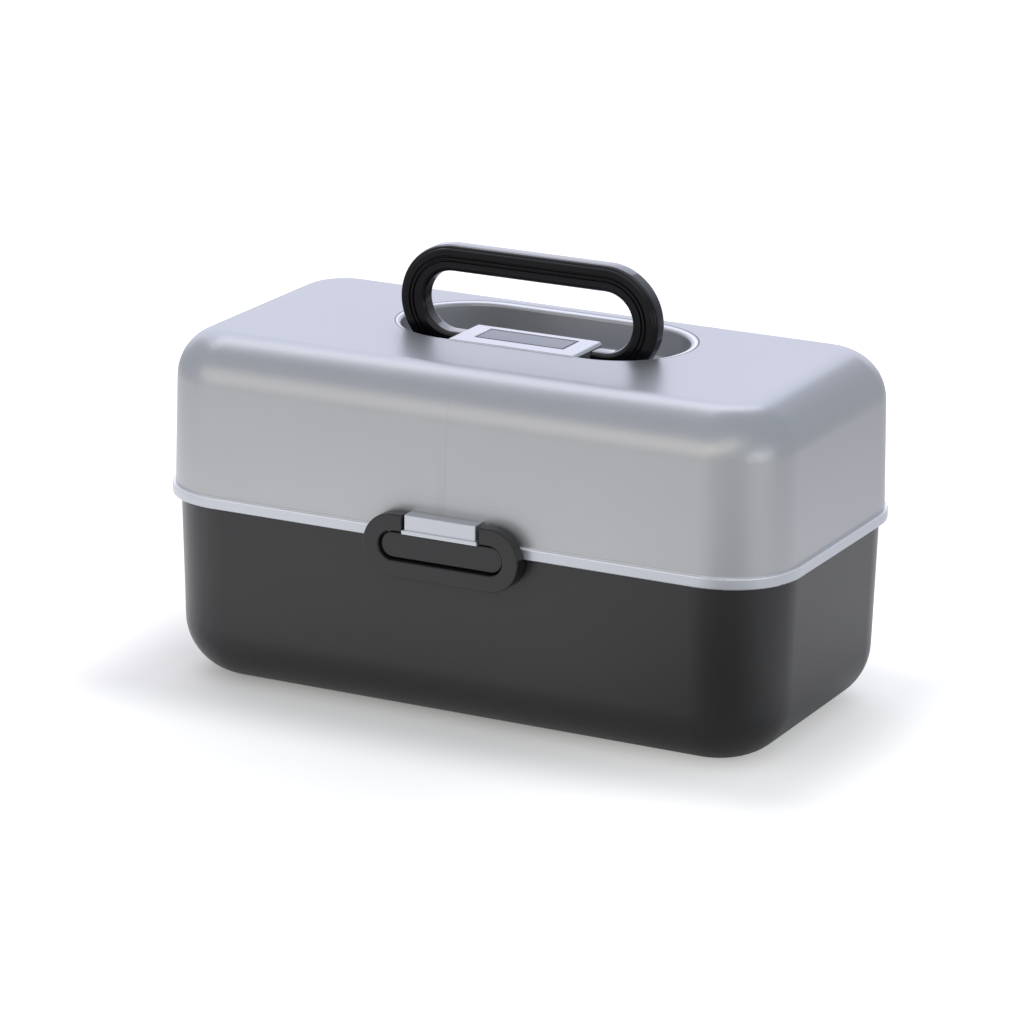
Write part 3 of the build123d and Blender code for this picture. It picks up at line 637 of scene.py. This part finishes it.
def turned(name, profile, sides=32):
    """A mesh turned round its own Z axis from (radius, height) steps that end on the axis."""
    mesh = bmesh.new()
    angles = [2 * math.pi * i / sides for i in range(sides)]
    rings = []
    for radius, height in profile:
        if radius == 0:
            rings.append([mesh.verts.new((0, 0, height * MM))])
        else:
            ring = [(radius * math.cos(a), radius * math.sin(a), height) for a in angles]
            rings.append([mesh.verts.new(Vector(place) * MM) for place in ring])
    for low, high in zip(rings, rings[1:]):
        for i in range(sides):
            corners = [low[i % len(low)], low[(i - 1) % len(low)]]
            corners += [high[(i - 1) % len(high)], high[i % len(high)]]
            corners = [v for k, v in enumerate(corners) if v not in corners[:k]]
            if len(corners) > 2:
                mesh.faces.new(corners)
    bmesh.ops.recalc_face_normals(mesh, faces=mesh.faces)
    made = bpy.data.meshes.new(name)
    mesh.to_mesh(made)
    mesh.free()
    return made


def dome(radius, steps=5):
    """A rivet's domed head on the plane z = 0, from its rim to its pole."""
    rim = RIVET_HEAD_T * RIVET_RIM_SHARE
    rise = RIVET_HEAD_T - rim
    angles = [math.pi / 2 * i / steps for i in range(steps)]
    cap = [(radius * math.cos(a), rim + rise * math.sin(a)) for a in angles]
    return [(radius, 0), *cap, (0, RIVET_HEAD_T)]


def rivet(reach, head_r, outer_head):
    """A rivet along Z with its domed inner head at the top and its shank below."""
    shank = reach - RIVET_HEAD_T * (2 if outer_head else 1)
    if outer_head:
        foot = [(r, -shank - h) for r, h in reversed(dome(head_r))]
        foot.append((SHANK_R, -shank))
    else:
        tip_r = SHANK_R - SHANK_CHAMFER
        foot = [(0, -shank), (tip_r, -shank), (SHANK_R, -shank + SHANK_CHAMFER)]
    return turned("rivet", [*foot, (SHANK_R, 0), *dome(head_r)])


def recessed_screw(reach, head_r):
    """A pan-head screw along Z, head up, with a cross recess sunk in the head."""
    shank, top = reach - SCREW_HEAD_T, SCREW_HEAD_T
    tip_r = SCREW_R - SCREW_TIP_STEP
    tip = [(0, -shank), (tip_r, -shank), (SCREW_R, -shank + SCREW_TIP_LENGTH), (SCREW_R, 0)]
    head = [(head_r * across, top * up) for across, up in PAN_HEAD]
    made = turned("screw", [*tip, *head, (0, top)])
    screw = bmesh.new()
    screw.from_mesh(made)

    # the head's flat top opens, and the cross takes its place
    pole = min(screw.verts, key=lambda v: (v.co - Vector((0, 0, top * MM))).length)
    ring = sorted(
        {v for face in pole.link_faces for v in face.verts if v is not pole},
        key=lambda v: math.atan2(v.co.y, v.co.x),
    )
    bmesh.ops.delete(screw, geom=[pole], context="VERTS")
    flat_r = head[-1][0]
    arm, slot = flat_r * RECESS_ARM_SHARE, flat_r * RECESS_SLOT_SHARE
    outline = []
    for quarter in range(4):
        turn = Matrix.Rotation(quarter * math.pi / 2, 2)
        outline += [turn @ Vector(p) for p in ((arm, -slot), (arm, slot), (slot, slot))]
    mouth, floor = (
        [screw.verts.new(Vector((p.x * share, p.y * share, top - depth)) * MM) for p in outline]
        for share, depth in ((1.0, 0.0), (RECESS_FLOOR_SHARE, RECESS_DEPTH))
    )
    every = [*ring, *mouth]
    for triangle in tessellate_polygon([[v.co for v in ring], [v.co for v in mouth]]):
        screw.faces.new([every[i] for i in triangle])
    for i in range(len(outline)):
        screw.faces.new((mouth[i - 1], mouth[i], floor[i], floor[i - 1]))
    screw.faces.new(floor)
    bmesh.ops.recalc_face_normals(screw, faces=screw.faces)
    screw.to_mesh(made)
    screw.free()
    return made


def places_tree():
    """Sets one fastener on each point, turned as the point says, and makes the copies real."""
    tree = bpy.data.node_groups.new("fasteners_at_places", "GeometryNodeTree")
    kinds = {"Places": "Geometry", "Fastener": "Object", "Size": "Float", "Finish": "Material"}
    for name, kind in kinds.items():
        tree.interface.new_socket(name, in_out="INPUT", socket_type="NodeSocket" + kind)
    tree.interface.new_socket("Fasteners", in_out="OUTPUT", socket_type="NodeSocketGeometry")
    given, fastener, turn, put, real, finish, out = (
        tree.nodes.new(kind)
        for kind in (
            "NodeGroupInput",
            "GeometryNodeObjectInfo",
            "GeometryNodeInputNamedAttribute",
            "GeometryNodeInstanceOnPoints",
            "GeometryNodeRealizeInstances",
            "GeometryNodeSetMaterial",
            "NodeGroupOutput",
        )
    )
    turn.data_type = "FLOAT_VECTOR"
    turn.inputs["Name"].default_value = "turn"
    for start, end in (
        (given.outputs["Fastener"], fastener.inputs["Object"]),
        (given.outputs["Places"], put.inputs["Points"]),
        (fastener.outputs["Geometry"], put.inputs["Instance"]),
        (turn.outputs["Attribute"], put.inputs["Rotation"]),
        (given.outputs["Size"], put.inputs["Scale"]),
        (put.outputs["Instances"], real.inputs["Geometry"]),
        (real.outputs["Geometry"], finish.inputs["Geometry"]),
        (given.outputs["Finish"], finish.inputs["Material"]),
        (finish.outputs["Geometry"], out.inputs["Fasteners"]),
    ):
        tree.links.new(start, end)
    return tree


fastener_tree = places_tree()


def set_fasteners(node, fastener_mesh, places):
    """Replaces a CAD node of like fasteners by one mesh of finer ones at (point, turn) places."""
    points = bpy.data.meshes.new(f"{node}_places")
    points.from_pydata([Vector(point) * MM for point, _ in places], [], [])
    turns = points.attributes.new("turn", "FLOAT_VECTOR", "POINT")
    for item, (_, turn) in zip(turns.data, places):
        item.vector = turn
    holder = bpy.data.objects.new(f"{node}_places", points)
    sample = bpy.data.objects.new(f"{node}_sample", fastener_mesh)
    for temporary in (holder, sample):
        bpy.context.scene.collection.objects.link(temporary)
    setting = holder.modifiers.new("fasteners", "NODES")
    setting.node_group = fastener_tree
    sockets = fastener_tree.interface.items_tree
    inputs = {s.name: s.identifier for s in sockets if s.in_out == "INPUT"}
    setting[inputs["Fastener"]] = sample
    setting[inputs["Size"]] = 1.0
    setting[inputs["Finish"]] = finishes[slot_of[node]]
    seen = holder.evaluated_get(bpy.context.evaluated_depsgraph_get())
    mesh = bpy.data.meshes.new_from_object(seen)
    holder.modifiers.clear()
    for temporary in (holder, sample):
        bpy.data.objects.remove(temporary)
    new_piece(f"{node}_turned", mesh, node)


def set_rivets(node, heads):
    """Domed rivets along X, with heads inner (towards the case's middle), outer or both."""
    boxes = boxes_of(node)
    first_low, first_high = boxes[0]
    places = []
    for low, high in boxes:
        on_right = low.x > 0
        if on_right == (heads != "outer"):
            x, turn = low.x + RIVET_HEAD_T, -math.pi / 2
        else:
            x, turn = high.x - RIVET_HEAD_T, math.pi / 2
        middle = (low + high) / 2
        places.append(((x, middle.y, middle.z), (0, turn, 0)))
    reach, across, _ = first_high - first_low
    set_fasteners(node, rivet(reach, across / 2, heads == "both"), places)


def set_screws(node, axis, head_end, turn):
    """Recessed screws along an axis, with the head at its low or its high end."""
    boxes = boxes_of(node)
    first_low, first_high = boxes[0]
    places = []
    for low, high in boxes:
        middle = (low + high) / 2
        if head_end == "low":
            middle[axis] = low[axis] + SCREW_HEAD_T
        else:
            middle[axis] = high[axis] - SCREW_HEAD_T
        places.append((middle, turn))
    size = first_high - first_low
    set_fasteners(node, recessed_screw(size[axis], size.x / 2), places)


set_rivets("base_rivets", heads="inner")
set_rivets("link_rivets", heads="inner")
set_rivets("link_slot_pins", heads="outer")
set_rivets("lower_tray_rivets", heads="both")
set_rivets("upper_tray_rivets", heads="both")
set_screws("clamp_screws", axis=2, head_end="low", turn=(math.pi, 0, 0))
set_screws("latch_screws", axis=1, head_end="high", turn=(-math.pi / 2, 0, 0))


# ---------------------------------------------------------------- studio
LAMPS_AIM = Vector((0, 0, 80)) * MM


def softbox(name, turn, height, distance, width, tall, colour):
    """A rectangular lamp turned towards the case: angles in degrees, turn counted from the rear,
    and the rest in metres.

    Its colour is its brightness: 1 lights it as bright as white paper in full light."""
    around, up = math.radians(turn), math.radians(height)
    away = Vector((math.cos(up) * math.sin(around), math.cos(up) * math.cos(around), math.sin(up)))
    lamp = bpy.data.lights.new(name, "AREA")
    lamp.shape = "RECTANGLE"
    lamp.size = width
    lamp.size_y = tall
    lamp.energy = max(colour) * width * tall * math.pi
    lamp.color = [c / max(colour) for c in colour]
    holder = bpy.data.objects.new(name, lamp)
    bpy.context.scene.collection.objects.link(holder)
    holder.location = LAMPS_AIM + away * distance
    holder.rotation_mode = "QUATERNION"
    holder.rotation_quaternion = away.to_track_quat("Z", "Y")
    holder.visible_camera = False


softbox("rear_low_softbox", -27, 14, 1.7, 2.2, 0.7, (0.69, 0.67, 0.80))
softbox("rear_softbox", -32, 40, 1.7, 1.8, 0.9, (0.64, 0.66, 0.84))
softbox("rear_high_softbox", -42, 58, 1.6, 1.8, 0.35, (2.0, 1.9, 2.06))
softbox("front_left_softbox", -153, 15, 2.2, 2.2, 1.1, (0.62, 0.55, 0.46))
softbox("front_right_softbox", 150, 35, 3.2, 1.6, 1.2, (0.60, 0.58, 0.45))
softbox("front_softbox", 175, 22, 3.2, 2.2, 1.0, (0.75, 0.68, 0.51))
softbox("right_softbox", 110, 6, 1.7, 1.0, 0.5, (1.05, 1.03, 0.96))

PAPER = (0.80, 0.78, 0.75)
BLACK, WHITE = (0.0, 0.0, 0.0), (1.0, 1.0, 1.0)
ROOM = (0.54, 0.58, 0.65)
# places on the paper for its painted shadow and painted light, in millimetres from the case's
# middle or beyond its footprint
FOOT_HALF_X, FOOT_HALF_Y = 165.0, 85.0
PAINTED_SHADOW_REACH, LIFT_IN_PAINTED_SHADOW, LIFT_AWAY, PAINTED_LIGHT_RIGHT = 60.0, 0.24, 0.50, 0.16
PAINTED_GLOW_RISE, PAINTED_GLOW_FALL, PAINTED_GLOW_LEVEL = (-40.0, 120.0), (180.0, 650.0), 0.58
PAINTED_GLOW_REAR_RIGHT, PAINTED_GLOW_REAR_RIGHT_LOSS = (0.0, 350.0), 0.5
SHADOW_PATCH_X, SHADOW_PATCH_Y, SHADOW_PATCH_REACH, SHADOW_PATCH_LEVEL = 230.0, -230.0, (60.0, 235.0), 0.22


def studio_paper():
    """Pale paper, lifted to white for the camera, less so beside the case as a painted shadow,
    and more so on the right as painted light.

    Other rays find it glowing with painted light in a ring round the case, weaker at the rear
    right, and a painted shadow beyond the front right corner darkens both its glow and colour."""
    finish = Finish("studio_paper", Roughness=1.0, Specular_IOR_Level=0.0, Emission_Strength=1.0)
    x, y, _ = finish.axes()
    camera = finish.add("ShaderNodeLightPath", {}, {}, output="Is Camera Ray")
    outside = length((abs(x) - FOOT_HALF_X).at_least(0), (abs(y) - FOOT_HALF_Y).at_least(0))
    # the camera's lift to white is lower beside the case as a painted shadow, and higher on the right as
    # painted light
    camera_lift_with_painted_shadow = LIFT_IN_PAINTED_SHADOW + (LIFT_AWAY - LIFT_IN_PAINTED_SHADOW) * outside.over(0.0, PAINTED_SHADOW_REACH)
    camera_lift_with_painted_shadow = camera_lift_with_painted_shadow + x.over(0.0, FOOT_HALF_X) * PAINTED_LIGHT_RIGHT
    # painted light: the paper glows for all rays but the camera's, in a ring round the case, weaker at the
    # rear right
    ring = outside.over(*PAINTED_GLOW_RISE) * (1 - outside.over(*PAINTED_GLOW_FALL)) * PAINTED_GLOW_LEVEL
    ring = ring * (1 - (x + y).over(*PAINTED_GLOW_REAR_RIGHT) * PAINTED_GLOW_REAR_RIGHT_LOSS)
    # a painted shadow beyond the front right corner darkens the paper's colour and glow for other rays
    painted_shadow_patch = 1 - length(x - SHADOW_PATCH_X, y - SHADOW_PATCH_Y).over(*SHADOW_PATCH_REACH)
    painted_shadow_factor = 1 - painted_shadow_patch * (1 - camera) * (1 - SHADOW_PATCH_LEVEL)
    colour = finish.mix(painted_shadow_factor, BLACK, PAPER)
    finish.set(Base_Color=colour, Emission_Color=camera * camera_lift_with_painted_shadow + (1 - camera) * ring * painted_shadow_factor)
    return finish.material


def make_floor(half=6.0):
    """The paper under the case, a square that reaches half, in metres, each way."""
    mesh = bpy.data.meshes.new("studio_floor")
    corners = [(-half, -half, 0), (half, -half, 0), (half, half, 0), (-half, half, 0)]
    mesh.from_pydata(corners, [], [(0, 1, 2, 3)])
    mesh.materials.append(studio_paper())
    floor = bpy.data.objects.new("studio_floor", mesh)
    bpy.context.scene.collection.objects.link(floor)


def make_world():
    """An even, slightly cool room, shown white to the camera."""
    world = bpy.data.worlds.new("studio_room")
    bpy.context.scene.world = world
    world.use_nodes = True
    room = Shading(world.node_tree)
    camera = room.add("ShaderNodeLightPath", {}, {}, output="Is Camera Ray")
    background = world.node_tree.nodes["Background"]
    room.feed(background.inputs["Color"], room.mix(camera, ROOM, WHITE))


make_floor()
make_world()

# ---------------------------------------------------------------- camera
IMAGE_PX = 1024
FOCAL_PX = 4908.6
SENSOR_WIDTH = 36.0
AZIMUTH, ELEVATION, ROLL = (math.radians(a) for a in (26.69, 16.69, 0.8))
DISTANCE = 2.3795
TARGET = Vector((-6.9, -3.5, 86.8)) * MM
CLIP_NEAR, CLIP_FAR = 0.05, 50.0


def make_camera():
    """The camera of the photograph, at DISTANCE metres from the point that it looks at."""
    back = Vector((
        math.sin(AZIMUTH) * math.cos(ELEVATION),
        -math.cos(AZIMUTH) * math.cos(ELEVATION),
        math.sin(ELEVATION),
    ))
    level_right = Vector((math.cos(AZIMUTH), math.sin(AZIMUTH), 0))
    level_up = back.cross(level_right)
    right = level_right * math.cos(ROLL) + level_up * math.sin(ROLL)
    up = level_up * math.cos(ROLL) - level_right * math.sin(ROLL)
    data = bpy.data.cameras.new("photo_camera")
    data.sensor_width = SENSOR_WIDTH
    data.lens = SENSOR_WIDTH * FOCAL_PX / IMAGE_PX
    data.clip_start, data.clip_end = CLIP_NEAR, CLIP_FAR
    data.dof.use_dof = False
    camera = bpy.data.objects.new("photo_camera", data)
    bpy.context.scene.collection.objects.link(camera)
    turn = Matrix((right, up, back)).transposed().to_4x4()
    camera.matrix_world = Matrix.Translation(TARGET + back * DISTANCE) @ turn
    bpy.context.scene.camera = camera


make_camera()
bpy.context.scene.view_settings.view_transform = "Standard"
